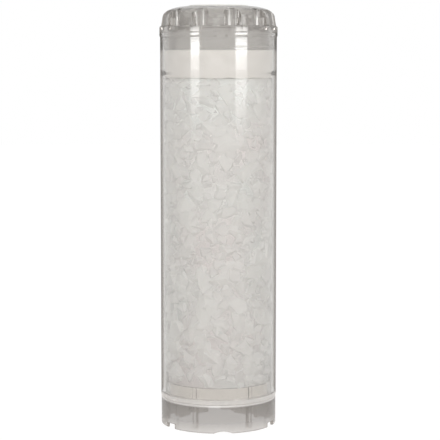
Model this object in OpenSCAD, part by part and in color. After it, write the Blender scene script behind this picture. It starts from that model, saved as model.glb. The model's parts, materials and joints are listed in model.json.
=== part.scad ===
// Refillable anti-scale cartridge, 9 3/4 inch long, for a 10 inch water filter housing.
// A clear moulded tube on a slotted base holds anti-scale crystals between two felt pads,
// and a lobed screw cap closes it. The origin is at the middle of the base rim, +Z up.

/* [Overall] */
// Height from the base rim to the crown of the screw cap
total_h = 247.5; // [180:0.5:520]
// Angle of one grip lobe from the front of the cartridge, -Y, towards +X
lobe_turn = -2.3; // [-16:0.1:16]
// Angle of one arched foot notch from the front of the cartridge, -Y, towards +X
notch_turn = 4.6; // [-25:0.1:25]

/* [Tube] */
// Outside diameter of the tube
tube_d = 68.6; // [66:0.1:80]
// Wall of the tube below the neck
tube_wall = 2.1; // [1.8:0.1:3]
// Wall of the tube in the threaded neck
neck_wall = 1.5; // [1.2:0.05:1.7]
// Depth of the neck below the rim
neck_h = 22.8; // [18:0.1:30]
// Length of the taper from the neck to the tube's own bore
neck_taper_h = 1.5; // [0.5:0.1:4]
// How far the rim bead stands proud of the tube
bead_proud = 0.4; // [0.2:0.1:1]
// Height of the rim bead
bead_h = 1.6; // [1:0.1:3]
// Height of the slope under the rim bead
bead_slope_h = 1.2; // [0.4:0.1:3]
// Corner radius on the lower end of the tube
tube_round = 0.3; // [0.1:0.1:1.2]

/* [Base] */
// How far the base skirt lies inside the tube's outer face
base_inset = 0.15; // [0:0.05:0.5]
// Wall of the base skirt
skirt_wall = 2.2; // [1.8:0.1:3]
// Corner radius round the rim of the skirt, less than the depth of the pockets
rim_round = 0.5; // [0.2:0.1:0.5]
// Height of the skirt under the base flange
skirt_h = 16.3; // [12:0.1:24]
// How far the base flange, which the tube stands on, stands out past the tube
shoulder_proud = 0.05; // [0:0.05:0.4]
// Thickness of the base flange
shoulder_t = 3; // [2.5:0.1:5]
// Corner radius on the lower edge of the base flange
shoulder_round = 1; // [0.9:0.1:1.4]
// Depth of the groove between the skirt and the flange
shoulder_groove = 0.3; // [0.1:0.05:0.5]
// Thickness of the slotted floor
floor_t = 2.5; // [2:0.1:4]
// How far the spigot reaches up inside the tube
spigot_h = 6.7; // [5:0.1:14]
// Wall of the spigot
spigot_wall = 1.8; // [1.4:0.1:2.4]
// Radial space between the spigot and the tube
spigot_space = 0.8; // [0.4:0.1:1.4]
// Gap between the tube and the ribs that centre it
rib_gap = 0.1; // [0.05:0.05:0.3]
// Number of ribs inside the skirt, each with a centring rib above it on the spigot
rib_n = 6; // [3:1:8]
// Thickness of each rib
rib_t = 2.2; // [1.6:0.1:3]
// How far each rib reaches in from the skirt
rib_reach = 3; // [2:0.5:12]
// Height of the gap under each rib
rib_lift = 2.2; // [0.4:0.1:4]

/* [Foot notches] */
// Number of pockets round the foot of the skirt
notch_n = 6; // [2:2:8]
// Width of each pocket along the skirt
notch_w = 10.8; // [6:0.1:13]
// Height of each pocket inside the skirt
pocket_h = 7.6; // [5:0.1:10]
// Depth of each pocket into the skirt, more than the round of its rim
pocket_depth = 0.6; // [0.6:0.1:1.2]
// Height of the gate cut through every second pocket
gate_h = 2.9; // [2:0.1:4.5]
// Width of the gate
gate_w = 7.8; // [4:0.1:10]
// Height of the arch cut through the pockets between them
arch_h = 1.3; // [0.6:0.1:2]

/* [Floor slots] */
// Width of each water slot
slot_w = 1.4; // [0.8:0.1:2]
// Number of slots in the outer ring
outer_slot_n = 36; // [12:6:42]
// Length of each outer slot
outer_slot_len = 7; // [5:0.5:10]
// Number of slots in the inner ring
inner_slot_n = 12; // [6:6:15]
// Radius where the inner slots start
inner_slot_r = 4.5; // [4:0.5:7]
// Length of each inner slot
inner_slot_len = 8; // [4:0.5:9]
// Solid band outside the outer ring of slots
rim_band = 4; // [1:0.5:5]

/* [Screw cap] */
// How far the cap flange stands out past the tube
flange_overhang = 0.4; // [0:0.05:1.5]
// Height of the flange up to the floor of the finger scallops
flange_h = 3.8; // [3:0.1:6]
// Corner radius on the top edge of the flange
flange_round = 0.9; // [0.4:0.1:1.2]
// Step from the edge of the flange in to the foot of the grip lobes
grip_setback = 0.85; // [0.3:0.05:2]
// How far the lobes lean in between their foot and the dome
grip_lean = 0.85; // [0:0.05:2]
// Height of the straight side of the grip
grip_h = 5.2; // [3:0.1:12]
// Height of the dome above the side of the grip
dome_h = 6.5; // [5:0.1:8]
// Radius of the flat crown inside the dome
crown_r = 17.8; // [17.8:0.1:21]
// Number of finger scallops
scallop_n = 11; // [8:1:11]
// Radius of each scallop
scallop_r = 4.9; // [4:0.1:5.2]
// Depth of each scallop into the grip
scallop_depth = 4.9; // [3:0.1:6]
// Wall between a scallop and the hollow of the cap
cap_wall = 2.2; // [1.6:0.1:2.8]
// Width of the hollow inside each lobe
lobe_core_w = 4; // [2:0.1:4.5]
// Height from the crown down to the hollow of each lobe
lobe_cover = 7; // [6.5:0.1:9]
// Thickness of the cap top
cap_top_t = 2.6; // [2:0.1:3.5]
// Length of the threaded skirt below the flange
cap_skirt_h = 10.1; // [8:0.1:14]
// Wall of the threaded skirt
cap_skirt_wall = 2.2; // [1.6:0.1:2.8]
// Radial space between the plain skirt and the neck, for the two threads
thread_space = 0.7; // [0.5:0.05:0.9]

/* [Outlet] */
// Diameter of the outlet bore
bore_d = 28; // [20:0.5:29]
// Width of the seal washer, from the bore to its outer edge
washer_band = 3.3; // [2.5:0.1:3.4]
// Thickness of the seal washer
washer_t = 1.7; // [1.2:0.1:2.2]
// How far the washer stands above the crown
washer_proud = 0.5; // [0.2:0.1:1]
// Radial gap round the outside of the washer
washer_gap = 0.1; // [0.05:0.05:0.3]

/* [Filling] */
// Thickness of the felt pad under the cap
outlet_pad_t = 16.3; // [8:0.1:20]
// Radial gap round the felt pads and the crystals
fill_gap = 0.1; // [0.05:0.05:0.4]
// Typical size of a crystal
crystal_size = 8; // [5:0.5:12]
// How far the deepest crystal faces lie in from the tube
crystal_relief = 2.4; // [1:0.1:3]

/* [Hidden] */
$fn = 96;
// Clear moulded plastic, felt, crystals and silicone rubber
clear_colour = [0.86, 0.87, 0.85, 0.35];
felt_colour = [0.90, 0.89, 0.86];
crystal_colour = [0.88, 0.89, 0.87];
silicone_colour = [0.85, 0.86, 0.83];
// Overlap that joins two shapes of one piece, and how far a cutter runs past a face
lap = 0.3;
past = 1;
// Number of facets in each small round and in the dome
round_steps = 5;
dome_steps = 9;

// Levels, from the top of the cap and from the base rim
washer_top = total_h + washer_proud;
washer_seat = washer_top - washer_t;
cap_hollow_top = total_h - cap_top_t;
dome_foot = total_h - dome_h;
scallop_floor = dome_foot - grip_h;
tube_top = scallop_floor - flange_h;
cap_step = scallop_floor - cap_wall;
cap_skirt_bottom = tube_top - cap_skirt_h;
bed_top = cap_skirt_bottom - outlet_pad_t;
floor_top = skirt_h + floor_t;
tube_foot = skirt_h + shoulder_t;
spigot_top = tube_foot + spigot_h;

// Radii, from the outside in
tube_r = tube_d / 2;
neck_bore_r = tube_r - neck_wall;
tube_bore_r = tube_r - tube_wall;
base_r = tube_r - base_inset;
skirt_bore_r = base_r - skirt_wall;
shoulder_r = tube_r + shoulder_proud;
spigot_r = tube_bore_r - spigot_space;
spigot_bore_r = spigot_r - spigot_wall;
flange_r = tube_r + flange_overhang;
grip_foot_r = flange_r - grip_setback;
grip_r = grip_foot_r - grip_lean;
cap_skirt_r = neck_bore_r - thread_space;
cap_skirt_bore_r = cap_skirt_r - cap_skirt_wall;
scallop_centre_r = grip_r - scallop_depth + scallop_r;
cap_hollow_r = grip_r - scallop_depth - cap_wall;
bore_r = bore_d / 2;
washer_r = bore_r + washer_band;
bed_r = tube_bore_r - fill_gap;

// Points of an arc or a quarter of an ellipse, from one angle to another
function arc_points(centre, radius_x, radius_y, from, to, steps) = [
    for (i = [0 : steps])
        let (a = from + (to - from) * i / steps)
            [centre[0] + radius_x * cos(a), centre[1] + radius_y * sin(a)]
];

// Turns its children from +X to an angle counted from the front, -Y, towards +X
module facing(angle) {
    rotate([0, 0, angle - 90]) children();
}

// Copies its children at equal angles, the first one at the angle given
module ring_of(count, first = 0) {
    for (i = [0 : count - 1]) facing(first + i * 360 / count) children();
}

// A plain ring between two heights
module ring(outer_r, inner_r, low, high) {
    translate([0, 0, low]) difference() {
        cylinder(r = outer_r, h = high - low);
        translate([0, 0, -past]) cylinder(r = inner_r, h = high - low + 2 * past);
    }
}

// A radial plate of even thickness, from one radius to another
module radial_plate(from_r, to_r, thickness, low, high) {
    translate([from_r, -thickness / 2, low]) cube([to_r - from_r, thickness, high - low]);
}

// Skirt and flange of the base, with a rounded rim to stand on
module base_skirt() {
    rim = concat(
        arc_points([skirt_bore_r + rim_round, rim_round], rim_round, rim_round, 180, 270, round_steps),
        arc_points([base_r - rim_round, rim_round], rim_round, rim_round, -90, 0, round_steps)
    );
    // The round under the flange starts at the bottom of the groove
    groove_run = base_r - shoulder_groove - shoulder_r + shoulder_round;
    flange = arc_points([shoulder_r - shoulder_round, skirt_h + shoulder_round],
        shoulder_round, shoulder_round, -acos(groove_run / shoulder_round), 0, round_steps);
    rotate_extrude() polygon(concat(
        rim,
        [[base_r, skirt_h]],
        flange,
        [[shoulder_r, tube_foot], [spigot_bore_r, tube_foot],
            [spigot_bore_r, skirt_h], [skirt_bore_r, skirt_h]]
    ));
}

// Shallow pocket inside the foot, and the opening cut through it
module foot_notch(is_gate) {
    intersection() {
        translate([0, 0, -past]) cylinder(r = skirt_bore_r + pocket_depth, h = pocket_h + past);
        radial_plate(skirt_bore_r - past, base_r + past, notch_w, -past, pocket_h + past);
    }
    if (is_gate) radial_plate(skirt_bore_r - past, base_r + past, gate_w, -past, gate_h);
    else foot_arch();
}

// A shallow round arch through the skirt, as wide as the pocket where it meets the rim
module foot_arch() {
    arch_r = (pow(notch_w / 2, 2) + pow(arch_h, 2)) / (2 * arch_h);
    intersection() {
        translate([skirt_bore_r - past, 0, arch_h - arch_r])
            rotate([0, 90, 0]) cylinder(r = arch_r, h = skirt_wall + 2 * past);
        radial_plate(skirt_bore_r - past, base_r + past, notch_w, -past, pocket_h);
    }
}

// One ring of water slots through the floor
module slot_ring(count, from_r, length) {
    ring_of(count, notch_turn + 180 / count)
        radial_plate(from_r, from_r + length, slot_w, skirt_h - past, floor_top + past);
}

// Base: ribbed skirt, flange, slotted floor and a ribbed spigot that enters the tube
module base() {
    color(clear_colour) difference() {
        union() {
            base_skirt();
            ring(spigot_r, spigot_bore_r, tube_foot - lap, spigot_top);
            translate([0, 0, skirt_h]) cylinder(r = spigot_bore_r + lap, h = floor_t);
            ring_of(rib_n, notch_turn + 180 / notch_n) base_rib();
        }
        slot_ring(outer_slot_n, spigot_bore_r - rim_band - outer_slot_len, outer_slot_len);
        slot_ring(inner_slot_n, inner_slot_r, inner_slot_len);
        for (i = [0 : notch_n - 1])
            facing(notch_turn + i * 360 / notch_n) foot_notch(i % 2 == 1);
    }
}

// Rib inside the skirt, and the one above it that centres the tube on the spigot
module base_rib() {
    radial_plate(skirt_bore_r - rib_reach, skirt_bore_r + lap, rib_t,
        rib_lift, skirt_h + lap);
    intersection() {
        radial_plate(spigot_r - lap, tube_r, rib_t, tube_foot - lap, spigot_top);
        cylinder(r = tube_bore_r - rib_gap, h = spigot_top);
    }
}

// Clear tube with a beaded rim, a wider threaded neck and a rounded lower end
module tube() {
    profile = concat(
        [[tube_bore_r, tube_foot]],
        arc_points([tube_r - tube_round, tube_foot + tube_round], tube_round, tube_round,
            -90, 0, round_steps),
        [
            [tube_r, tube_top - bead_h - bead_slope_h],
            [tube_r + bead_proud, tube_top - bead_h],
            [tube_r + bead_proud, tube_top],
            [neck_bore_r, tube_top],
            [neck_bore_r, tube_top - neck_h],
            [tube_bore_r, tube_top - neck_h - neck_taper_h]
        ]
    );
    color(clear_colour) rotate_extrude() polygon(profile);
}

// Felt pad in the spigot, which keeps the crystals off the floor slots
module inlet_pad() {
    color(felt_colour) translate([0, 0, floor_top])
        cylinder(r = spigot_bore_r - fill_gap, h = spigot_top - floor_top);
}

// Thick felt pad that the cap presses on the crystals
module outlet_pad() {
    color(felt_colour) translate([0, 0, bed_top]) cylinder(r = bed_r, h = outlet_pad_t);
}

// A repeatable value from 0 to 1 for a crystal corner, with no visible pattern
function scatter(row, column, salt) =
    let (x = sin(row * 127.1 + column * 311.7 + salt * 74.7) * 437.585)
        x - floor(x);

// A corner between crystals: off its even place by up to a third of a crystal
function crystal_corner(row, column, rows, columns, low, high) =
    let (
        is_end = row == 0 || row == rows,
        turn = 360 / columns * (column + row % 2 / 2 + (scatter(row, column, 1) - 0.5) * 0.7),
        lift = is_end ? 0 : (scatter(row, column, 2) - 0.5) * 0.66,
        radius = bed_r - crystal_relief * scatter(row, column, 3)
    )
        [radius * sin(turn), -radius * cos(turn), low + (high - low) / rows * (row + lift)];

// Crystals packed against the tube, as one solid with a broken, faceted surface
module crystal_bed() {
    columns = floor(2 * PI * bed_r / crystal_size);
    rows = floor((bed_top - spigot_top) / crystal_size);
    corners = [
        for (row = [0 : rows], column = [0 : columns - 1])
            crystal_corner(row, column, rows, columns, spigot_top, bed_top)
    ];
    sides = [
        for (row = [0 : rows - 1], column = [0 : columns - 1])
            let (
                next = (column + 1) % columns,
                a = row * columns + column,
                b = row * columns + next,
                c = (row + 1) * columns + column,
                d = (row + 1) * columns + next
            )
                each (row % 2 == 0 ? [[a, c, b], [b, c, d]] : [[a, c, d], [a, d, b]])
    ];
    bottom = [for (column = [0 : columns - 1]) column];
    top = [for (column = [columns - 1 : -1 : 0]) rows * columns + column];
    color(crystal_colour) polyhedron(corners, concat(sides, [bottom, top]));
}

// Outside of the cap above the flange: a tapered side and a domed top
module cap_grip() {
    dome = arc_points([crown_r, dome_foot], grip_r - crown_r, dome_h, 0, 90, dome_steps);
    rotate_extrude() polygon(concat(
        [[0, scallop_floor - lap], [grip_foot_r, scallop_floor - lap], [grip_foot_r, scallop_floor]],
        dome,
        [[0, total_h]]
    ));
}

// Hollow inside the cap, open at the bottom; each lobe is cored out flush with the skirt bore
module cap_hollow() {
    translate([0, 0, cap_skirt_bottom - past])
        cylinder(r = cap_skirt_bore_r, h = cap_step - cap_skirt_bottom + past);
    translate([0, 0, cap_step - past])
        cylinder(r = cap_hollow_r, h = cap_hollow_top - cap_step + past);
    intersection() {
        ring_of(scallop_n, lobe_turn)
            radial_plate(cap_hollow_r - past, cap_skirt_r, lobe_core_w,
                cap_step - past, total_h - lobe_cover);
        cylinder(r = cap_skirt_bore_r, h = total_h);
    }
}

// Screw cap: flange with rounded edge, lobed grip, outlet bore and threaded skirt
module screw_cap() {
    flange = concat(
        [[0, tube_top], [flange_r, tube_top]],
        arc_points([flange_r - flange_round, scallop_floor - flange_round],
            flange_round, flange_round, 0, 90, round_steps),
        [[0, scallop_floor]]
    );
    color(clear_colour) difference() {
        union() {
            difference() {
                cap_grip();
                ring_of(scallop_n, lobe_turn + 180 / scallop_n)
                    translate([scallop_centre_r, 0, scallop_floor])
                        cylinder(r = scallop_r, h = total_h);
            }
            rotate_extrude() polygon(flange);
            translate([0, 0, cap_skirt_bottom]) cylinder(r = cap_skirt_r, h = cap_skirt_h + lap);
        }
        cap_hollow();
        translate([0, 0, cap_hollow_top - past]) cylinder(r = bore_r, h = cap_top_t + 2 * past);
        translate([0, 0, washer_seat]) cylinder(r = washer_r + washer_gap, h = washer_t);
    }
}

// Soft flat washer round the outlet, which seals against the head of the housing
module seal_washer() {
    color(silicone_colour) ring(washer_r, bore_r, washer_seat, washer_top);
}

base();
tube();
inlet_pad();
crystal_bed();
outlet_pad();
screw_cap();
seal_washer();
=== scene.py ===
import json
import math
import random

import bmesh
import bpy
from mathutils import Matrix, Vector

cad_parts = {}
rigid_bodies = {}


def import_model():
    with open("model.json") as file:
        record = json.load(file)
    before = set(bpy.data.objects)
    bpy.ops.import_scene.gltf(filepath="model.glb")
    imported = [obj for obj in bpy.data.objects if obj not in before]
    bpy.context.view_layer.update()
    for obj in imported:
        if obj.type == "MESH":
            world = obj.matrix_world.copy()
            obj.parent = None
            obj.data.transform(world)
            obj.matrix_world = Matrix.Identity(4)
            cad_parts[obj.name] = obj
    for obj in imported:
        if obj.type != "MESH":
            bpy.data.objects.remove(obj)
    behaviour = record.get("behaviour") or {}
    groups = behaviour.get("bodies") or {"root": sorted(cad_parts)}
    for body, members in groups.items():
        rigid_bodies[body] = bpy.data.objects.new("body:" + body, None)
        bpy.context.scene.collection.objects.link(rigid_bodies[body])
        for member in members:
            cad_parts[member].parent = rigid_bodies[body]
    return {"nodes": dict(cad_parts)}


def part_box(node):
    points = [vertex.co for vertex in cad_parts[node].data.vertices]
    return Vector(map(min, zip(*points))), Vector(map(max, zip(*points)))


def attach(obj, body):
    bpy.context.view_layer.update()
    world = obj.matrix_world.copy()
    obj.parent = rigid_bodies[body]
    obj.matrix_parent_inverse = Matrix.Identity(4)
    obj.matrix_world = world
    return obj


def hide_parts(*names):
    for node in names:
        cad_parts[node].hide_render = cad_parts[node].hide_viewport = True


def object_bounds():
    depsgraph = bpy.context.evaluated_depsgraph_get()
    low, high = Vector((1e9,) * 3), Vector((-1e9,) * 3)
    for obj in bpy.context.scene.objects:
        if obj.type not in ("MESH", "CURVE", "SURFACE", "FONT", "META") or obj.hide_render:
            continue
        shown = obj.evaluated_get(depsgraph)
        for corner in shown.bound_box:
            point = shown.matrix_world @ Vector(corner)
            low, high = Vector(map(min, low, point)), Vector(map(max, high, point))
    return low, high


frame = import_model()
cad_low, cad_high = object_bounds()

# Base: the foot that the tube is welded to, injection moulded in clear styrene-acrylonitrile.
# Its skirt, hazed by scuffs from handling, has ribs inside and pockets, gates and notches at its rim.
# Painted shade in the haze darkens the skirt towards its top, and a painted light band brightens the
# flange.
mm = 0.001
san_tint = "#F4F4F3"
base_tint = "#FAF9F8"
base_depth = 8.0
base_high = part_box("base")[1]
# Painted shade and light: the haze darkens the skirt towards the floor above it, and is painted near
# white over the flange band
base_haze_and_painted_shade = (
    (0.0 * mm, "#CAC6C2", 0.45),
    (6.0 * mm, "#9C9894", 0.5),
    (15.0 * mm, "#8A8682", 0.5),
    (16.0 * mm, "#F6F4F2", 0.45),
    (19.2 * mm, "#F6F4F2", 0.45),
    (19.7 * mm, "#BDBAB6", 0.08),
)
san_depth_tint = "#B4AEA7"
san_depth = 40.0
san_hazes = ((0.0, "#BDBAB6", 0.08),)


def linear(code):
    """Turns an sRGB hex colour into linear red, green, blue and alpha."""
    parts = [int(code[i : i + 2], 16) / 255 for i in (1, 3, 5)]
    return tuple(p / 12.92 if p <= 0.04045 else ((p + 0.055) / 1.055) ** 2.4 for p in parts) + (1.0,)


def add(tree, kind, inputs=None, **settings):
    """Adds a node, with its settings, and with values or links for its inputs."""
    new = tree.nodes.new(kind)
    for name, value in settings.items():
        setattr(new, name, value)
    for name, value in (inputs or {}).items():
        socket = new.inputs[name]
        if isinstance(value, bpy.types.NodeSocket):
            tree.links.new(value, socket)
        else:
            socket.default_value = value
    return new


def new_material(name):
    """Makes an empty node material and returns it with its tree and its output node."""
    material = bpy.data.materials.new(name)
    material.use_nodes = True
    material.node_tree.nodes.clear()
    output = material.node_tree.nodes.new("ShaderNodeOutputMaterial")
    return material, material.node_tree, output


def lit_through(tree, surface, tint):
    """Lets lamps and bounced light pass straight through a surface, so that what it holds is lit."""
    rays = add(tree, "ShaderNodeLightPath")
    passing = add(
        tree,
        "ShaderNodeMath",
        {0: rays.outputs["Is Shadow Ray"], 1: rays.outputs["Is Diffuse Ray"]},
        operation="MAXIMUM",
    )
    through = add(tree, "ShaderNodeBsdfTransparent", {"Color": linear(tint)})
    both = add(
        tree, "ShaderNodeMixShader", {0: passing.outputs[0], 1: surface, 2: through.outputs[0]}
    )
    return both.outputs[0]


def clear_san(name, tint, depth_density, haze_and_shade_stops):
    """Clear SAN: bright plastic, warm grey through its depth, with flow marks and a haze.
    The haze has a tint and a share at each of the heights given, within the base's height. On the base
    these tints also paint shade that darkens the skirt towards its top, and a light band at the flange."""
    material, tree, output = new_material(name)
    place = add(tree, "ShaderNodeTexCoord").outputs["Object"]
    # Flow marks run up the moulding, so the pattern is stretched ten times along Z
    stretched = add(tree, "ShaderNodeMapping", {"Vector": place, "Scale": (220.0, 220.0, 22.0)})
    flow = add(
        tree, "ShaderNodeTexNoise", {"Vector": stretched.outputs[0], "Scale": 1.0, "Detail": 3.0}
    )
    roughness = add(
        tree,
        "ShaderNodeMapRange",
        {"Value": flow.outputs[0], "From Min": 0.3, "From Max": 0.7, "To Min": 0.015, "To Max": 0.06},
    )
    bump = add(
        tree,
        "ShaderNodeBump",
        {"Height": flow.outputs[0], "Strength": 0.05, "Distance": 0.0002},
    )
    plastic = add(
        tree,
        "ShaderNodeBsdfPrincipled",
        {
            "Base Color": linear(tint),
            "Transmission Weight": 1.0,
            "IOR": 1.57,
            "Roughness": roughness.outputs[0],
            "Normal": bump.outputs[0],
        },
    )
    # Fine scratches and limescale leave a haze, which softens what is seen through it. Its tint by
    # height also paints light and shade: on the base, shade darkening the skirt towards its top and a
    # light band at the flange.
    height = add(tree, "ShaderNodeSeparateXYZ", {0: place}).outputs["Z"]
    share = add(tree, "ShaderNodeMath", {0: height, 1: base_high[2]}, operation="DIVIDE")
    ramp = add(tree, "ShaderNodeValToRGB", {"Fac": share.outputs[0]})
    stops = ramp.color_ramp.elements
    stops.remove(stops[1])
    for number, (at, haze_and_shade_tint, amount) in enumerate(haze_and_shade_stops):
        stop = stops.new(at / base_high[2]) if number else stops[0]
        stop.color = linear(haze_and_shade_tint)[:3] + (amount,)
    haze_and_shade = add(tree, "ShaderNodeBsdfDiffuse", {"Color": ramp.outputs["Color"]})
    hazed_and_shaded = add(
        tree,
        "ShaderNodeMixShader",
        {0: ramp.outputs["Alpha"], 1: plastic.outputs[0], 2: haze_and_shade.outputs[0]},
    )
    both = lit_through(tree, hazed_and_shaded.outputs[0], "#FBFAF9")
    depth = add(
        tree,
        "ShaderNodeVolumeAbsorption",
        {"Color": linear(san_depth_tint), "Density": depth_density},
    )
    tree.links.new(both, output.inputs["Surface"])
    tree.links.new(depth.outputs[0], output.inputs["Volume"])
    return material


def finish_mesh(name, shape, material, smooth_angle=30.0):
    """Turns a bmesh into a piece at the origin, smooth but for its sharp edges."""
    bmesh.ops.recalc_face_normals(shape, faces=shape.faces)
    mesh = bpy.data.meshes.new(name)
    shape.to_mesh(mesh)
    shape.free()
    mesh.materials.append(material)
    mesh.shade_smooth()
    mesh.set_sharp_from_angle(angle=math.radians(smooth_angle))
    piece = bpy.data.objects.new(name, mesh)
    bpy.context.scene.collection.objects.link(piece)
    return piece


base_san = clear_san("hazed_san_painted_shade", base_tint, base_depth, base_haze_and_painted_shade)
# Only the corners and faces of the solid are taken, so its stored normals don't spoil the shine
solid = frame["nodes"]["base"].data
bare = bpy.data.meshes.new("bare_base")
bare.from_pydata([v.co for v in solid.vertices], [], [list(p.vertices) for p in solid.polygons])
base_shape = bmesh.new()
base_shape.from_mesh(bare)
bpy.data.meshes.remove(bare)
bmesh.ops.remove_doubles(base_shape, verts=base_shape.verts, dist=0.002 * mm)
base_foot = finish_mesh("base_foot", base_shape, base_san, smooth_angle=10.0)
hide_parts("base")
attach(base_foot, "cartridge")

# Tube: one clear SAN moulding, beaded at the rim, with a wider neck whose bore has the
# thread for the cap. Its lower end stands on the flange of the base.
tube_low, tube_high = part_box("tube")
bead_proud = 0.4 * mm
tube_wall = 2.1 * mm
neck_wall = 1.5 * mm
neck_depth = 22.8 * mm
neck_taper = 1.5 * mm
taper_reach = 4.0 * mm
taper_steps = 8
long_step = 12.0 * mm
bead_height = 1.6 * mm
bead_slope = 1.2 * mm
tube_end_round = 0.3 * mm
lip_round = 0.25 * mm
hold_reach = 0.15 * mm
tube_columns = 256
thread_pitch = 5.0 * mm
thread_height = 0.16 * mm
thread_width = 2.4 * mm
thread_flank = 0.9
thread_turns = 1.45
thread_fade = 0.08
thread_zone = 11.0 * mm
thread_start = tube_high[2] - 9.4 * mm
thread_row = 0.3 * mm


def arc(centre_r, centre_z, radius, start, end, steps):
    """Points of a small round in a section, as radius and height."""
    return [
        (
            centre_r + radius * math.cos(math.radians(start + (end - start) * i / steps)),
            centre_z + radius * math.sin(math.radians(start + (end - start) * i / steps)),
        )
        for i in range(steps + 1)
    ]


def steps_between(low, high, step):
    """Even heights from low to high, both left out."""
    count = max(2, round(abs(high - low) / step))
    return [low + (high - low) * i / count for i in range(1, count)]


def thread_ridge(angle, z, start, turns):
    """Height of a right-hand thread ridge at an angle and a height, fading at its two ends."""
    best = 0.0
    for turn in range(int(turns) + 2):
        along = angle / 360 + turn
        if not 0 <= along <= turns:
            continue
        away = abs(z - start - thread_pitch * along)
        flank = (thread_width / 2 - away) / (thread_flank * thread_width / 2)
        fade = min(1.0, along / thread_fade, (turns - along) / thread_fade)
        best = max(best, thread_height * max(0.0, min(1.0, flank)) * max(0.0, fade))
    return best


def held(points, long_runs):
    """Adds a point close to each end of the long runs, so that flats stay flat in smooth shading."""
    result = []
    for i, (here, there) in enumerate(zip(points, points[1:] + points[:1])):
        result.append(here)
        if i in long_runs:
            share = min(0.4, hold_reach / max(math.dist(here, there), hold_reach))
            for part in (share, 1 - share):
                result.append(tuple(a + (b - a) * part for a, b in zip(here, there)))
    return result


def revolve(name, angles, section, material):
    """Makes a closed ring: section(angle) gives the same number of (r, z) points each time."""
    first = section(angles[0])
    runs = zip(first, first[1:] + first[:1])
    long_runs = {i for i, (here, there) in enumerate(runs) if math.dist(here, there) > 5 * hold_reach}
    shape = bmesh.new()
    columns = []
    for angle in angles:
        turn = math.radians(angle)
        points = held(section(angle), long_runs)
        columns.append(
            [shape.verts.new((r * math.sin(turn), -r * math.cos(turn), z)) for r, z in points]
        )
    for here, there in zip(columns, columns[1:] + columns[:1]):
        for i in range(len(here)):
            j = (i + 1) % len(here)
            shape.faces.new((here[i], there[i], there[j], here[j]))
    return finish_mesh(name, shape, material)


def tube_section(angle):
    """Section of the tube, from the foot up the outside and back down the threaded bore."""
    top, foot = tube_high[2], tube_low[2]
    outer = tube_high[0] - bead_proud
    bead = tube_high[0]
    bore = outer - tube_wall
    neck = outer - neck_wall
    bead_foot = top - bead_height - bead_slope
    points = [(bore, foot), (bore + 0.6 * tube_wall / 2, foot)]
    points += arc(outer - tube_end_round, foot + tube_end_round, tube_end_round, -90, 0, 5)
    points += [(outer, z) for z in steps_between(foot + tube_end_round, bead_foot, long_step)]
    points += [(outer, bead_foot), (bead, top - bead_height)]
    points += arc(bead - lip_round, top - lip_round, lip_round, 0, 90, 3)
    points += arc(neck + lip_round, top - lip_round, lip_round, 90, 180, 3)
    for z in steps_between(top - lip_round, top - thread_zone, thread_row):
        points.append((neck - thread_ridge(angle, z, thread_start, thread_turns), z))
    taper = top - neck_depth - neck_taper / 2
    for step in range(taper_steps + 1):
        swing = math.pi * step / taper_steps
        r = (neck + bore) / 2 + (neck - bore) / 2 * math.cos(swing)
        points.append((r, taper + taper_reach * (0.5 - step / taper_steps)))
    points += [(bore, z) for z in steps_between(taper - taper_reach / 2, foot, long_step)]
    return points


san = clear_san("clear_moulded_san", san_tint, san_depth, san_hazes)
tube_angles = [360 * i / tube_columns for i in range(tube_columns)]
clear_tube = revolve("clear_tube", tube_angles, tube_section, san)
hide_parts("tube")
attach(clear_tube, "cartridge")

# Inlet pad: a disc of white polyester needle felt, die cut, that lies on the slotted floor
# inside the spigot. It is soft and slightly crowned, and its cut edge is a little fuzzy.
felt_white = "#F1EFEC"
felt_shade = "#E6E4E0"
pad_columns = 160
pad_rings = 14
pad_side_step = 1.2 * mm
pad_flat_share = 0.97
pad_edge = 0.4 * mm
pad_foot_edge = 0.15 * mm
inlet_wave = 0.5 * mm


def needle_felt():
    """Needle felt: matt tangled polyester fibre, with soft mottling and needle marks."""
    material, tree, output = new_material("white_needle_felt")
    place = add(tree, "ShaderNodeTexCoord").outputs["Object"]
    # Tangled fibre is 0.02 mm thick, far too fine to show, so it is drawn about 0.6 mm wide
    fibre = add(tree, "ShaderNodeTexNoise", {"Vector": place, "Scale": 900.0, "Detail": 4.0})
    mottle = add(tree, "ShaderNodeTexNoise", {"Vector": place, "Scale": 160.0, "Detail": 2.0})
    tone = add(
        tree,
        "ShaderNodeMapRange",
        {"Value": mottle.outputs[0], "From Min": 0.3, "From Max": 0.7},
    )
    colour = add(tree, "ShaderNodeMix", {"Factor": tone.outputs[0]}, data_type="RGBA")
    colour.inputs[6].default_value = linear(felt_shade)
    colour.inputs[7].default_value = linear(felt_white)
    bump = add(
        tree, "ShaderNodeBump", {"Height": fibre.outputs[0], "Strength": 0.6, "Distance": 0.0004}
    )
    felt = add(
        tree,
        "ShaderNodeBsdfPrincipled",
        {
            "Base Color": colour.outputs[2],
            "Roughness": 0.95,
            "Normal": bump.outputs[0],
            "Sheen Weight": 0.35,
            "Sheen Roughness": 0.5,
        },
    )
    tree.links.new(felt.outputs[0], output.inputs["Surface"])
    return material


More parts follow.
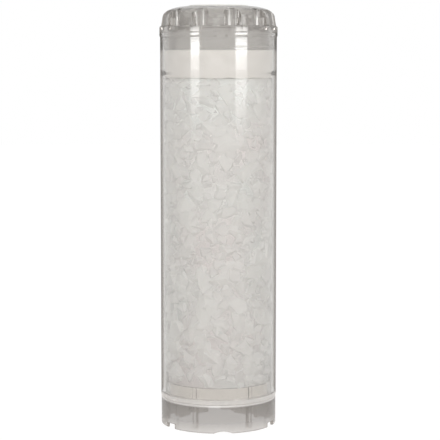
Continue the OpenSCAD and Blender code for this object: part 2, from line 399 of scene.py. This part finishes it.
def felt_disc(name, low, high, radius, wave_low, wave_high, seed):
    """Makes a closed felt disc. Its lower rim and its upper face dent by up to the waves given."""
    chance = random.Random(seed)
    phases = [(chance.uniform(0, 360), chance.randint(3, 17)) for _ in range(7)]

    def dent(angle, share):
        total = sum(math.sin(math.radians(angle * count + shift)) for shift, count in phases)
        return total / len(phases) * min(1.0, share * 1.4)

    edge, foot_edge = pad_edge, pad_foot_edge
    shares = [i / pad_rings for i in range(1, pad_rings)]
    rows = max(2, round((high - low) / pad_side_step))
    shape = bmesh.new()
    columns = []
    for i in range(pad_columns):
        angle = 360 * i / pad_columns
        turn = math.radians(angle)
        points = [(radius * s * pad_flat_share, low) for s in shares]
        rim = low + foot_edge + wave_low * abs(dent(angle, 1))
        points += arc(radius - foot_edge, rim, foot_edge, -90, 0, 4)
        points += [(radius, rim + (high - edge * 2 - rim) * i / rows) for i in range(1, rows)]
        points += arc(radius - edge, high - edge - wave_high * abs(dent(angle, 1)), edge, 0, 90, 4)
        points += [
            (radius * s * pad_flat_share, high - wave_high * abs(dent(angle + 40, s)))
            for s in reversed(shares)
        ]
        columns.append(
            [shape.verts.new((r * math.sin(turn), -r * math.cos(turn), z)) for r, z in points]
        )
    under = shape.verts.new((0, 0, low))
    over = shape.verts.new((0, 0, high))
    for here, there in zip(columns, columns[1:] + columns[:1]):
        for j in range(len(here) - 1):
            shape.faces.new((here[j], there[j], there[j + 1], here[j + 1]))
        shape.faces.new((here[0], under, there[0]))
        shape.faces.new((there[-1], over, here[-1]))
    return finish_mesh(name, shape, felt, 80.0)


felt = needle_felt()
inlet_low, inlet_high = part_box("inlet_pad")
inlet_felt = felt_disc(
    "inlet_felt", inlet_low[2], inlet_high[2], inlet_high[0], 0.0, inlet_wave, seed=5
)
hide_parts("inlet_pad")
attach(inlet_felt, "cartridge")

# Crystals: crushed polyphosphate glass, poured in and shaken down. Each is a broken chip
# with flat and shell-like faces, and those at the wall lie flat against the tube.
crystal_white = "#F1F2F1"
crystal_shade = "#E8E7E7"
core_cool = "#EDF1F0"
core_warm = "#EFEBEB"
core_shade = 0.95
# Painted shade: how dark the heap is painted at its foot
core_foot_painted_shade = 0.78
bed_low, bed_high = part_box("crystal_bed")
bed_gap = 0.15 * mm
bed_radius = tube_high[0] - bead_proud - tube_wall - bed_gap
chip_shapes = 9
chip_points = 13
chip_radius = 6.0 * mm
chip_smallest, chip_largest = 0.62, 1.35
chip_spacing = 4.8 * mm
chip_depth = 3.8 * mm
core_depth = 2.4 * mm
chip_clearness = 0.45
deep_after = 5
crystal_seed = 11


def polyphosphate():
    """Crushed polyphosphate glass: icy, half-clear chips, each a little lighter or darker."""
    material, tree, output = new_material("crushed_polyphosphate")
    place = add(tree, "ShaderNodeTexCoord").outputs["Object"]
    tone = add(tree, "ShaderNodeAttribute", attribute_name="chip_tone")
    # Shell-like ripples on a broken face are about 0.8 mm apart
    ripple = add(tree, "ShaderNodeTexNoise", {"Vector": place, "Scale": 700.0, "Detail": 2.0})
    colour = add(tree, "ShaderNodeMix", {"Factor": tone.outputs["Fac"]}, data_type="RGBA")
    colour.inputs[6].default_value = linear(crystal_shade)
    colour.inputs[7].default_value = linear(crystal_white)
    roughness = add(
        tree,
        "ShaderNodeMapRange",
        {"Value": ripple.outputs[0], "From Min": 0.3, "From Max": 0.7, "To Min": 0.06, "To Max": 0.2},
    )
    bump = add(
        tree, "ShaderNodeBump", {"Height": ripple.outputs[0], "Strength": 0.1, "Distance": 0.0003}
    )
    chip = add(
        tree,
        "ShaderNodeBsdfPrincipled",
        {
            "Base Color": colour.outputs[2],
            "Roughness": roughness.outputs[0],
            "IOR": 1.1,
            "Transmission Weight": chip_clearness,
            "Coat Weight": 0.5,
            "Coat IOR": 1.25,
            "Coat Roughness": 0.05,
            "Normal": bump.outputs[0],
        },
    )
    # Past the first few chips the glass only glows, as light comes to it from all sides
    inside = add(tree, "ShaderNodeBsdfTranslucent", {"Color": colour.outputs[2]})
    outside = add(tree, "ShaderNodeBsdfDiffuse", {"Color": colour.outputs[2]})
    heap = add(tree, "ShaderNodeMixShader", {0: 0.5, 1: inside.outputs[0], 2: outside.outputs[0]})
    passed = add(tree, "ShaderNodeLightPath").outputs["Transmission Depth"]
    deep = add(tree, "ShaderNodeMath", {0: passed, 1: deep_after}, operation="GREATER_THAN")
    glass = add(
        tree, "ShaderNodeMixShader", {0: deep.outputs[0], 1: chip.outputs[0], 2: heap.outputs[0]}
    )
    tree.links.new(lit_through(tree, glass.outputs[0], "#FFFFFF"), output.inputs["Surface"])
    return material


def heaped_core():
    """The heap behind the chips at the wall: the same glass, so thick that it looks almost white."""
    material, tree, output = new_material("heaped_polyphosphate")
    place = add(tree, "ShaderNodeTexCoord").outputs["Object"]
    # The chips behind are about 7 mm across, and show only as soft lighter and darker spots
    heap = add(tree, "ShaderNodeTexVoronoi", {"Vector": place, "Scale": 140.0})
    tone = add(tree, "ShaderNodeSeparateColor", {0: heap.outputs["Color"]})
    # Drifts of about 40 mm are a little cooler or warmer
    drift = add(tree, "ShaderNodeTexNoise", {"Vector": place, "Scale": 25.0, "Detail": 1.0})
    turn = add(tree, "ShaderNodeMapRange", {"Value": drift.outputs[0], "From Min": 0.4, "From Max": 0.6})
    colour = add(tree, "ShaderNodeMix", {"Factor": turn.outputs[0]}, data_type="RGBA")
    colour.inputs[6].default_value = linear(core_warm)
    colour.inputs[7].default_value = linear(core_cool)
    depth = add(tree, "ShaderNodeMapRange", {"Value": tone.outputs[0], "To Min": core_shade})
    # Painted shade: the heap is a little darker towards its foot
    height = add(tree, "ShaderNodeSeparateXYZ", {0: place}).outputs["Z"]
    painted_foot_shade = add(
        tree,
        "ShaderNodeMapRange",
        {"Value": height, "From Min": bed_low[2], "From Max": bed_high[2], "To Min": core_foot_painted_shade},
    )
    level = add(
        tree, "ShaderNodeMath", {0: depth.outputs[0], 1: painted_foot_shade.outputs[0]}, operation="MULTIPLY"
    )
    shaded = add(
        tree,
        "ShaderNodeVectorMath",
        {0: colour.outputs[2], "Scale": level.outputs[0]},
        operation="SCALE",
    )
    glass = add(
        tree, "ShaderNodeBsdfPrincipled", {"Base Color": shaded.outputs[0], "Roughness": 0.6}
    )
    tree.links.new(glass.outputs[0], output.inputs["Surface"])
    return material


def chip_mesh(number):
    """One broken chip of unit size, as the hull of a few scattered points."""
    chance = random.Random(100 + number)
    shape = bmesh.new()
    stretch = Vector((chance.uniform(0.8, 1.25), chance.uniform(0.7, 1.0), chance.uniform(0.65, 1.0)))
    for _ in range(chip_points):
        spot = Vector([chance.gauss(0, 1) for _ in range(3)]).normalized()
        shape.verts.new(spot * stretch * chance.uniform(0.85, 1.0))
    hull = bmesh.ops.convex_hull(shape, input=shape.verts)
    loose = {v for v in hull["geom_interior"] + hull["geom_unused"] if isinstance(v, bmesh.types.BMVert)}
    bmesh.ops.delete(shape, geom=list(loose), context="VERTS")
    mesh = bpy.data.meshes.new(f"chip_{number}")
    shape.to_mesh(mesh)
    shape.free()
    return mesh


def packed_layer_tree():
    """Geometry Nodes: scatters turned chips over a surface and presses them flat at the wall."""
    tree = bpy.data.node_groups.new("packed_chips", "GeometryNodeTree")
    face = tree.interface
    face.new_socket("Geometry", in_out="INPUT", socket_type="NodeSocketGeometry")
    for name, kind in (
        ("Chips", "NodeSocketCollection"),
        ("Spacing", "NodeSocketFloat"),
        ("Chip Radius", "NodeSocketFloat"),
        ("Wall Radius", "NodeSocketFloat"),
        ("Lowest", "NodeSocketFloat"),
        ("Highest", "NodeSocketFloat"),
        ("Seed", "NodeSocketInt"),
        ("Material", "NodeSocketMaterial"),
    ):
        face.new_socket(name, in_out="INPUT", socket_type=kind)
    face.new_socket("Geometry", in_out="OUTPUT", socket_type="NodeSocketGeometry")
    given = add(tree, "NodeGroupInput").outputs
    spots = add(
        tree,
        "GeometryNodeDistributePointsOnFaces",
        {"Mesh": given["Geometry"], "Distance Min": given["Spacing"], "Density Max": 400000.0,
         "Seed": given["Seed"]},
        distribute_method="POISSON",
    )
    turn = add(
        tree,
        "FunctionNodeRandomValue",
        {"Seed": given["Seed"]},
        data_type="FLOAT_VECTOR",
    )
    turn.inputs[1].default_value = (2 * math.pi,) * 3
    grow = add(tree, "FunctionNodeRandomValue", {"Seed": given["Seed"]}, data_type="FLOAT")
    grow.inputs[2].default_value = chip_smallest
    grow.inputs[3].default_value = chip_largest
    size = add(
        tree, "ShaderNodeMath", {0: grow.outputs[1], 1: given["Chip Radius"]}, operation="MULTIPLY"
    )
    shade = add(tree, "FunctionNodeRandomValue", {"Seed": given["Seed"]}, data_type="FLOAT")
    choice = add(tree, "FunctionNodeRandomValue", {"Seed": given["Seed"]}, data_type="INT")
    choice.inputs[4].default_value = 0
    choice.inputs[5].default_value = chip_shapes - 1
    chips = add(
        tree,
        "GeometryNodeCollectionInfo",
        {"Collection": given["Chips"], "Separate Children": True, "Reset Children": True},
    )
    placed = add(
        tree,
        "GeometryNodeInstanceOnPoints",
        {
            "Points": spots.outputs["Points"],
            "Instance": chips.outputs[0],
            "Pick Instance": True,
            "Instance Index": choice.outputs[2],
            "Rotation": turn.outputs[0],
            "Scale": size.outputs[0],
        },
    )
    toned = add(
        tree,
        "GeometryNodeStoreNamedAttribute",
        {"Geometry": placed.outputs[0], "Name": "chip_tone", "Value": shade.outputs[1]},
        data_type="FLOAT",
        domain="INSTANCE",
    )
    solid = add(tree, "GeometryNodeRealizeInstances", {"Geometry": toned.outputs[0]})
    where = add(tree, "GeometryNodeInputPosition")
    split = add(tree, "ShaderNodeSeparateXYZ", {0: where.outputs[0]})
    flat = add(tree, "ShaderNodeCombineXYZ", {0: split.outputs[0], 1: split.outputs[1]})
    away = add(tree, "ShaderNodeVectorMath", {0: flat.outputs[0]}, operation="LENGTH")
    ratio = add(
        tree, "ShaderNodeMath", {0: given["Wall Radius"], 1: away.outputs["Value"]}, operation="DIVIDE"
    )
    shrink = add(tree, "ShaderNodeMath", {0: ratio.outputs[0], 1: 1.0}, operation="MINIMUM")
    inside = add(
        tree,
        "ShaderNodeVectorMath",
        {0: flat.outputs[0], "Scale": shrink.outputs[0]},
        operation="SCALE",
    )
    height = add(
        tree,
        "ShaderNodeClamp",
        {"Value": split.outputs[2], "Min": given["Lowest"], "Max": given["Highest"]},
    )
    lift = add(tree, "ShaderNodeCombineXYZ", {2: height.outputs[0]})
    pressed = add(
        tree, "ShaderNodeVectorMath", {0: inside.outputs[0], 1: lift.outputs[0]}, operation="ADD"
    )
    moved = add(
        tree, "GeometryNodeSetPosition", {"Geometry": solid.outputs[0], "Position": pressed.outputs[0]}
    )
    done = add(
        tree, "GeometryNodeSetMaterial", {"Geometry": moved.outputs[0], "Material": given["Material"]}
    )
    add(tree, "NodeGroupOutput", {"Geometry": done.outputs[0]})
    return tree


def drum(name, radius, low, high, columns=64):
    """An upright drum with closed ends, to scatter chips over or to fill the core."""
    shape = bmesh.new()
    bmesh.ops.create_cone(
        shape,
        cap_ends=True,
        cap_tris=True,
        segments=columns,
        radius1=radius,
        radius2=radius,
        depth=high - low,
        matrix=Matrix.Translation((0, 0, (low + high) / 2)),
    )
    mesh = bpy.data.meshes.new(name)
    shape.to_mesh(mesh)
    shape.free()
    drum_object = bpy.data.objects.new(name, mesh)
    bpy.context.scene.collection.objects.link(drum_object)
    return drum_object


phosphate = polyphosphate()
chips = bpy.data.collections.new("chip_shapes")
bpy.context.scene.collection.children.link(chips)
for number in range(chip_shapes):
    chips.objects.link(bpy.data.objects.new(f"chip_{number}", chip_mesh(number)))
layer_tree = packed_layer_tree()
sockets = {s.name: s.identifier for s in layer_tree.interface.items_tree if s.in_out == "INPUT"}
crystals = bmesh.new()
surface = drum("chip_spots", bed_radius - chip_depth, bed_low[2] + chip_depth, bed_high[2] - chip_depth)
modifier = surface.modifiers.new("Packing", "NODES")
modifier.node_group = layer_tree
modifier[sockets["Chips"]] = chips
modifier[sockets["Spacing"]] = chip_spacing
modifier[sockets["Chip Radius"]] = chip_radius
modifier[sockets["Wall Radius"]] = bed_radius
modifier[sockets["Lowest"]] = bed_low[2]
modifier[sockets["Highest"]] = bed_high[2]
modifier[sockets["Seed"]] = crystal_seed
modifier[sockets["Material"]] = phosphate
evaluated = surface.evaluated_get(bpy.context.evaluated_depsgraph_get())
made = bpy.data.meshes.new_from_object(evaluated)
crystals.from_mesh(made)
bpy.data.meshes.remove(made)
bpy.data.objects.remove(surface)
# The chips come with a slot number of their own, and slot 0 of the piece is their glass
for face in crystals.faces:
    face.material_index = 0
core = drum("core", bed_radius - core_depth, bed_low[2], bed_high[2], 48)
for face in core.data.polygons:
    face.material_index = 1
crystals.from_mesh(core.data)
bpy.data.objects.remove(core)
for chip in list(chips.objects):
    bpy.data.objects.remove(chip)
bpy.data.collections.remove(chips)
crystal_mesh = bpy.data.meshes.new("crystals")
crystals.to_mesh(crystal_mesh)
crystals.free()
crystal_mesh.materials.append(phosphate)
crystal_mesh.materials.append(heaped_core())
packed_crystals = bpy.data.objects.new("packed_crystals", crystal_mesh)
bpy.context.scene.collection.objects.link(packed_crystals)
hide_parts("crystal_bed")
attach(packed_crystals, "cartridge")

# Outlet pad: a thick plug of the same felt, pressed down on the crystals by the cap's skirt.
# Its lower rim takes the shape of the crystals, so it is wavy against the tube.
outlet_low, outlet_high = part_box("outlet_pad")
outlet_wave = 1.2 * mm
outlet_top_wave = 0.2 * mm
outlet_gap = 0.1 * mm
outlet_felt = felt_disc(
    "outlet_felt",
    outlet_low[2],
    outlet_high[2],
    outlet_high[0] - outlet_gap,
    outlet_wave,
    outlet_top_wave,
    seed=9,
)
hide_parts("outlet_pad")
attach(outlet_felt, "cartridge")

# Screw cap: one clear SAN moulding, with eleven grip lobes between finger scallops, a domed
# top with the outlet in it, and a skirt whose outside carries the right-hand thread.
cap_low, cap_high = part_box("screw_cap")
lobe_turn = -2.3
lobes = 11
pitch_angle = 360 / lobes
flange_r = cap_high[0]
flange_round = 0.9 * mm
crown = cap_high[2]
dome_height = 6.5 * mm
grip_height = 5.2 * mm
flange_height = 3.8 * mm
grip_foot_r = 33.85 * mm
grip_r = 33.0 * mm
crown_r = 17.8 * mm
scallop_r = 4.9 * mm
scallop_depth = 4.9 * mm
scallop_blend = 0.5 * mm
cap_wall = 2.2 * mm
cap_top = 2.6 * mm
small_round = 0.2 * mm
skirt_round = 0.3 * mm
top_round = 0.6 * mm
grip_steps = 6
cap_bore_step = 3.0 * mm
foot_lap = 0.3 * mm
step_slope = 0.1 * mm
top_inset = 2.0 * mm
outlet_r = 14.0 * mm
seat_r = 17.4 * mm
seat_depth = 1.2 * mm
skirt_r = 32.1 * mm
skirt_wall = 2.2 * mm
core_half_width = 2.0 * mm
lobe_cover = 7.0 * mm
cap_thread_start = thread_start + thread_pitch / 2
cap_thread_turns = thread_turns - 0.4
cap_depth = 65.0
cap_hazes = ((0.0, "#BDBAB6", 0.2),)
dome_steps = 16


def smooth_min(a, b, blend):
    """The smaller of two lengths, with the corner between them rounded."""
    near = max(blend - abs(a - b), 0.0) / blend
    return min(a, b) - near * near * blend / 4


def lobe_angles():
    """Angles of the cap's columns: close together at the corners of lobes and hollows."""
    half = [0, 1.3, 2.6, 3.3, 3.7, 4.45, 4.7, 5.4, 6.1, 6.7, 7.1, 7.4, 7.62]
    centre = grip_r - scallop_depth + scallop_r
    for step in range(12):
        swing = math.radians(84 - 7.6 * step)
        across, out = scallop_r * math.sin(swing), centre - scallop_r * math.cos(swing)
        half.append(pitch_angle / 2 - math.degrees(math.atan2(across, out)))
    half.append(pitch_angle / 2)
    half = sorted(half)
    whole = half + [pitch_angle - a for a in reversed(half[1:-1])]
    return [lobe_turn + pitch_angle * n + a for n in range(lobes) for a in whole]


def scallop_edge(angle):
    """How far out the grip reaches at an angle, before the next scallop cuts it."""
    off = (angle - lobe_turn) % pitch_angle - pitch_angle / 2
    centre = grip_r - scallop_depth + scallop_r
    across = centre * math.sin(math.radians(off))
    if abs(across) >= scallop_r:
        return flange_r
    return centre * math.cos(math.radians(off)) - math.sqrt(scallop_r**2 - across**2)


def hollow_edge(angle):
    """Radius of the cap's hollow at an angle: further out inside each lobe."""
    off = (angle - lobe_turn + pitch_angle / 2) % pitch_angle - pitch_angle / 2
    inner = grip_r - scallop_depth - cap_wall
    outer = skirt_r - skirt_wall
    width = math.degrees(math.asin(core_half_width / inner))
    return outer if abs(off) < width - 0.3 else inner


def cap_section(angle):
    """Section of the cap, up its outside, in through the outlet and down its hollow."""
    scallop = scallop_edge(angle)
    floor = crown - dome_height - grip_height
    under = floor - flange_height
    dome_foot = crown - dome_height
    bottom = cap_low[2]
    bore = skirt_r - skirt_wall
    hollow = grip_r - scallop_depth - cap_wall
    points = arc(skirt_r - skirt_round, bottom + skirt_round, skirt_round, -90, 0, 3)
    for z in steps_between(bottom + skirt_round, under - skirt_round, thread_row):
        points.append((skirt_r + thread_ridge(angle % 360, z, cap_thread_start, cap_thread_turns), z))
    points += [(skirt_r, under)]
    points += arc(flange_r - small_round, under + small_round, small_round, -90, 0, 2)
    points += arc(flange_r - flange_round, floor - flange_round, flange_round, 0, 90, 6)
    points.append((smooth_min(grip_foot_r + foot_lap, scallop + foot_lap, scallop_blend), floor))
    for step in range(grip_steps + 1):
        share = step / grip_steps
        profile = grip_foot_r + (grip_r - grip_foot_r) * share
        height = floor + small_round + (grip_height - small_round) * share
        points.append((smooth_min(profile, scallop, scallop_blend), height))
    for step in range(1, dome_steps + 1):
        swing = math.radians(90 * step / dome_steps)
        profile = crown_r + (grip_r - crown_r) * math.cos(swing)
        height = dome_foot + dome_height * math.sin(swing)
        points.append((smooth_min(profile, scallop, scallop_blend), height))
    points += [(seat_r, crown), (seat_r, crown - seat_depth)]
    points += [(outlet_r, crown - seat_depth)]
    points += arc(outlet_r + small_round, crown - cap_top + small_round, small_round, 180, 270, 2)
    points += [(hollow - top_inset, crown - cap_top)]
    points += arc(hollow - top_round, crown - cap_top - top_round, top_round, 90, 0, 3)
    edge = hollow_edge(angle)
    points += [(hollow, crown - lobe_cover + step_slope), (edge, crown - lobe_cover)]
    step_z = floor - cap_wall
    points += [(edge, step_z + step_slope), (max(edge, hollow + foot_lap), step_z)]
    points += [(bore, step_z - step_slope)]
    points += [(bore, z) for z in steps_between(step_z - step_slope, bottom, cap_bore_step)]
    points += [(bore, bottom)]
    return points


cap_san = clear_san("thick_moulded_san", san_tint, cap_depth, cap_hazes)
lobed_cap = revolve("lobed_cap", lobe_angles(), cap_section, cap_san)
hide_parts("screw_cap")
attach(lobed_cap, "cap")

# Seal washer: a soft flat ring of milky silicone rubber, cut from sheet and dropped into the
# seat round the outlet. It stands half a millimetre proud to seal on the housing's head.
washer_low, washer_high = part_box("seal_washer")
washer_round = 0.25 * mm
washer_columns = 128
silicone_milk = "#DDDED6"


def milky_silicone():
    """Silicone rubber: soft, milky and half clear, with a dry satin surface and fine dust."""
    material, tree, output = new_material("milky_silicone")
    place = add(tree, "ShaderNodeTexCoord").outputs["Object"]
    # Dust and talc on the sheet show as specks about 0.7 mm across
    dust = add(tree, "ShaderNodeTexNoise", {"Vector": place, "Scale": 800.0, "Detail": 3.0})
    roughness = add(
        tree,
        "ShaderNodeMapRange",
        {"Value": dust.outputs[0], "From Min": 0.3, "From Max": 0.7, "To Min": 0.35, "To Max": 0.6},
    )
    bump = add(
        tree, "ShaderNodeBump", {"Height": dust.outputs[0], "Strength": 0.2, "Distance": 0.0001}
    )
    rubber = add(
        tree,
        "ShaderNodeBsdfPrincipled",
        {
            "Base Color": linear(silicone_milk),
            "Roughness": roughness.outputs[0],
            "IOR": 1.41,
            "Subsurface Weight": 0.6,
            "Subsurface Radius": (1.0, 1.0, 1.0),
            "Subsurface Scale": 0.001,
            "Normal": bump.outputs[0],
        },
    )
    tree.links.new(rubber.outputs[0], output.inputs["Surface"])
    return material


def washer_section(angle):
    """Section of the washer: a flat strip with slightly rounded corners."""
    inner, outer = outlet_r, washer_high[0]
    low, high = washer_low[2], washer_high[2]
    points = arc(inner + washer_round, low + washer_round, washer_round, 180, 270, 3)
    points += arc(outer - washer_round, low + washer_round, washer_round, -90, 0, 3)
    points += arc(outer - washer_round, high - washer_round, washer_round, 0, 90, 3)
    points += arc(inner + washer_round, high - washer_round, washer_round, 90, 180, 3)
    return points


washer_angles = [360 * i / washer_columns for i in range(washer_columns)]
outlet_washer = revolve("outlet_washer", washer_angles, washer_section, milky_silicone())
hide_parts("seal_washer")
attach(outlet_washer, "washer")

# Studio: a pale floor that keeps the soft shadow, a white background, two tall strip lights in
# front for the upright highlights, and two grey cards behind that draw the darker edges.
floor_pale = "#F3EFEB"
floor_size = 6.0
floor_glow = 0.85
floor_strength = 1.1
floor_gap = 0.02 * mm
lamp_distance = 1.0
lamp_high = 1.0
lamp_radiance = 3.3
lamp_edge = 0.12
lamp_middle, lamp_top = 0.38, 0.3
hot_start, hot_low, hot_high, hot_end = 0.2195, 0.2225, 0.246, 0.275
left_lamp_angle, left_lamp_width, left_lamp_low, left_lamp_full = -46.5, 0.36, 0.135, 0.205
right_lamp_angle, right_lamp_width, right_lamp_low, right_lamp_full = 45.2, 0.48, 0.115, 0.208
flag_behind = 0.08
flag_height = 0.3
flag_start, flag_end = 0.041, 0.096
flag_dark, flag_light = 0.25, 0.64
band_low, band_high, band_blur, band_dark = 0.223, 0.2335, 0.002, 0.35
fill_front, fill_side, fill_back = 1.71, 0.32, 1.12
camera_distance = 0.954
camera_height = 0.2186
camera_pitch = 5.815
image_size = 440
focal_pixels = 1613
axis_pixel = 218.5
sensor = 36.0


def pale_floor():
    """A matt painted board that shows almost white to the camera, in gloss and through plastic."""
    material, tree, output = new_material("pale_board")
    place = add(tree, "ShaderNodeTexCoord").outputs["Object"]
    grain = add(tree, "ShaderNodeTexNoise", {"Vector": place, "Scale": 400.0})
    bump = add(
        tree, "ShaderNodeBump", {"Height": grain.outputs[0], "Strength": 0.02, "Distance": 0.0002}
    )
    board = add(
        tree,
        "ShaderNodeBsdfDiffuse",
        {"Color": linear(floor_pale), "Normal": bump.outputs[0]},
    )
    glow = add(tree, "ShaderNodeEmission", {"Color": (1, 1, 1, 1), "Strength": floor_strength})
    rays = add(tree, "ShaderNodeLightPath")
    seen = add(
        tree,
        "ShaderNodeMath",
        {0: rays.outputs["Is Camera Ray"], 1: rays.outputs["Is Glossy Ray"]},
        operation="MAXIMUM",
    )
    seen = add(
        tree,
        "ShaderNodeMath",
        {0: seen.outputs[0], 1: rays.outputs["Is Transmission Ray"]},
        operation="MAXIMUM",
    )
    share = add(tree, "ShaderNodeMath", {0: seen.outputs[0], 1: floor_glow}, operation="MULTIPLY")
    both = add(
        tree, "ShaderNodeMixShader", {0: share.outputs[0], 1: board.outputs[0], 2: glow.outputs[0]}
    )
    tree.links.new(both.outputs[0], output.inputs["Surface"])
    return material


floor_mesh = bpy.data.meshes.new("floor")
half = floor_size / 2
floor_mesh.from_pydata(
    [(-half, -half, 0), (half, -half, 0), (half, half, 0), (-half, half, 0)], [], [(0, 1, 2, 3)]
)
floor_mesh.materials.append(pale_floor())
floor = bpy.data.objects.new("floor", floor_mesh)
floor.location.z = cad_low[2] - floor_gap
bpy.context.scene.collection.objects.link(floor)


def strip_light(name, angle, width, low, full):
    """A tall soft strip light that faces the cartridge. It fades out towards its lower end and
    is brightest in a band that the cap's skirt mirrors."""
    tall = lamp_high - low
    lamp = bpy.data.lights.new(name, "AREA")
    lamp.shape = "RECTANGLE"
    lamp.size = width
    lamp.size_y = tall
    lamp.energy = lamp_radiance * math.pi * width * tall
    lamp.use_nodes = True
    tree = lamp.node_tree
    tree.nodes.clear()
    place = add(tree, "ShaderNodeNewGeometry").outputs["Parametric"]
    split = add(tree, "ShaderNodeSeparateXYZ", {0: place})
    fade = add(tree, "ShaderNodeValToRGB", {"Fac": split.outputs["Y"]})
    stops = fade.color_ramp.elements
    stops[0].color = (0, 0, 0, 1)
    stops[1].color = (lamp_top,) * 3 + (1,)
    for height, share in (
        (full, lamp_middle),
        (hot_start, lamp_middle),
        (hot_low, 1.0),
        (hot_high, 1.0),
        (hot_end, lamp_top),
    ):
        stops.new((height - low) / tall).color = (share,) * 3 + (1,)
    off = add(tree, "ShaderNodeMath", {0: split.outputs["X"], 1: 0.5}, operation="SUBTRACT")
    away = add(tree, "ShaderNodeMath", {0: off.outputs[0]}, operation="ABSOLUTE")
    # The two upright edges of the strip are soft
    level = add(
        tree,
        "ShaderNodeMapRange",
        {
            "Value": away.outputs[0],
            "From Min": 0.5,
            "From Max": 0.5 - lamp_edge,
            "To Max": 1 / lamp_middle,
        },
    )
    shine = add(tree, "ShaderNodeEmission", {"Color": fade.outputs[0], "Strength": level.outputs[0]})
    add(tree, "ShaderNodeOutputLight", {"Surface": shine.outputs[0]})
    turn = math.radians(angle)
    stand = Vector((math.sin(turn), -math.cos(turn), 0)) * lamp_distance
    stand.z = (low + lamp_high) / 2
    light = bpy.data.objects.new(name, lamp)
    light.location = stand
    light.rotation_euler = Vector((stand.x, stand.y, 0)).to_track_quat("Z", "Y").to_euler()
    light.visible_camera = False
    bpy.context.scene.collection.objects.link(light)


def grey_flag(name, start, end):
    """A grey card behind the cartridge, seen only in the plastic, which draws its edges darker."""
    corners = [
        (x, flag_behind, z)
        for x, z in ((start, 0), (end, 0), (end, flag_height), (start, flag_height))
    ]
    mesh = bpy.data.meshes.new(name)
    mesh.from_pydata(corners, [], [(0, 1, 2, 3)])
    material, tree, output = new_material(name)
    # The card grows lighter away from the tube, so each edge line fades inwards
    place = add(tree, "ShaderNodeTexCoord").outputs["Object"]
    split = add(tree, "ShaderNodeSeparateXYZ", {0: place})
    away = add(tree, "ShaderNodeMath", {0: split.outputs["X"]}, operation="ABSOLUTE")
    level = add(
        tree,
        "ShaderNodeMapRange",
        {
            "Value": away.outputs[0],
            "From Min": flag_start,
            "From Max": flag_end,
            "To Min": flag_dark,
            "To Max": flag_light,
        },
    )
    # A darker band behind the cap's skirt deepens the edges of the two thick walls there
    up = add(tree, "ShaderNodeMath", {0: split.outputs["Z"], 1: flag_height}, operation="DIVIDE")
    band = add(tree, "ShaderNodeValToRGB", {"Fac": up.outputs[0]})
    stops = band.color_ramp.elements
    stops[0].color = stops[1].color = (1, 0.96, 0.92, 1)
    for height, share in (
        (band_low - band_blur, 1.0),
        (band_low, band_dark),
        (band_high, band_dark),
        (band_high + band_blur, 1.0),
    ):
        stops.new(height / flag_height).color = (share, 0.96 * share, 0.92 * share, 1)
    card = add(tree, "ShaderNodeEmission", {"Color": band.outputs[0], "Strength": level.outputs[0]})
    tree.links.new(card.outputs[0], output.inputs["Surface"])
    mesh.materials.append(material)
    flag = bpy.data.objects.new(name, mesh)
    flag.visible_camera = False
    flag.visible_diffuse = False
    flag.visible_shadow = False
    bpy.context.scene.collection.objects.link(flag)


strip_light("left_strip", left_lamp_angle, left_lamp_width, left_lamp_low, left_lamp_full)
strip_light("right_strip", right_lamp_angle, right_lamp_width, right_lamp_low, right_lamp_full)
grey_flag("left_flag", -flag_end, -flag_start)
grey_flag("right_flag", flag_start, flag_end)

world = bpy.data.worlds.new("studio")
world.use_nodes = True
sky = world.node_tree
sky.nodes.clear()
rays = add(sky, "ShaderNodeLightPath")
shown = add(
    sky,
    "ShaderNodeMath",
    {0: rays.outputs["Is Glossy Ray"], 1: rays.outputs["Is Transmission Ray"]},
    operation="MAXIMUM",
)
shown = add(
    sky, "ShaderNodeMath", {0: shown.outputs[0], 1: rays.outputs["Is Camera Ray"]}, operation="MAXIMUM"
)
# The room is dimmer at the sides, so the tube falls off towards its edges
direction = add(sky, "ShaderNodeTexCoord").outputs["Generated"]
back = add(sky, "ShaderNodeSeparateXYZ", {0: direction}).outputs["Y"]
ahead = add(sky, "ShaderNodeMath", {0: back, 1: 0.0}, operation="GREATER_THAN")
end = add(
    sky,
    "ShaderNodeMapRange",
    {"Value": ahead.outputs[0], "To Min": fill_front, "To Max": fill_back},
)
focus = add(sky, "ShaderNodeMath", {0: back, 1: back}, operation="MULTIPLY")
level = add(
    sky,
    "ShaderNodeMapRange",
    {"Value": focus.outputs[0], "To Min": fill_side, "To Max": end.outputs[0]},
)
fill = add(sky, "ShaderNodeBackground", {"Color": (1, 1, 1, 1), "Strength": level.outputs[0]})
white = add(sky, "ShaderNodeBackground", {"Color": (1, 1, 1, 1), "Strength": 1.0})
mixed = add(
    sky, "ShaderNodeMixShader", {0: shown.outputs[0], 1: fill.outputs[0], 2: white.outputs[0]}
)
add(sky, "ShaderNodeOutputWorld", {"Surface": mixed.outputs[0]})
bpy.context.scene.world = world

camera_data = bpy.data.cameras.new("camera")
camera_data.sensor_width = sensor
camera_data.lens = focal_pixels / image_size * sensor
camera_data.clip_start = 0.05
camera = bpy.data.objects.new("camera", camera_data)
camera.location = (
    (image_size / 2 - axis_pixel) / focal_pixels * camera_distance,
    -camera_distance,
    camera_height,
)
camera.rotation_euler = (math.radians(90 - camera_pitch), 0, 0)
bpy.context.scene.collection.objects.link(camera)
bpy.context.scene.camera = camera
bpy.context.scene.view_settings.view_transform = "Standard"
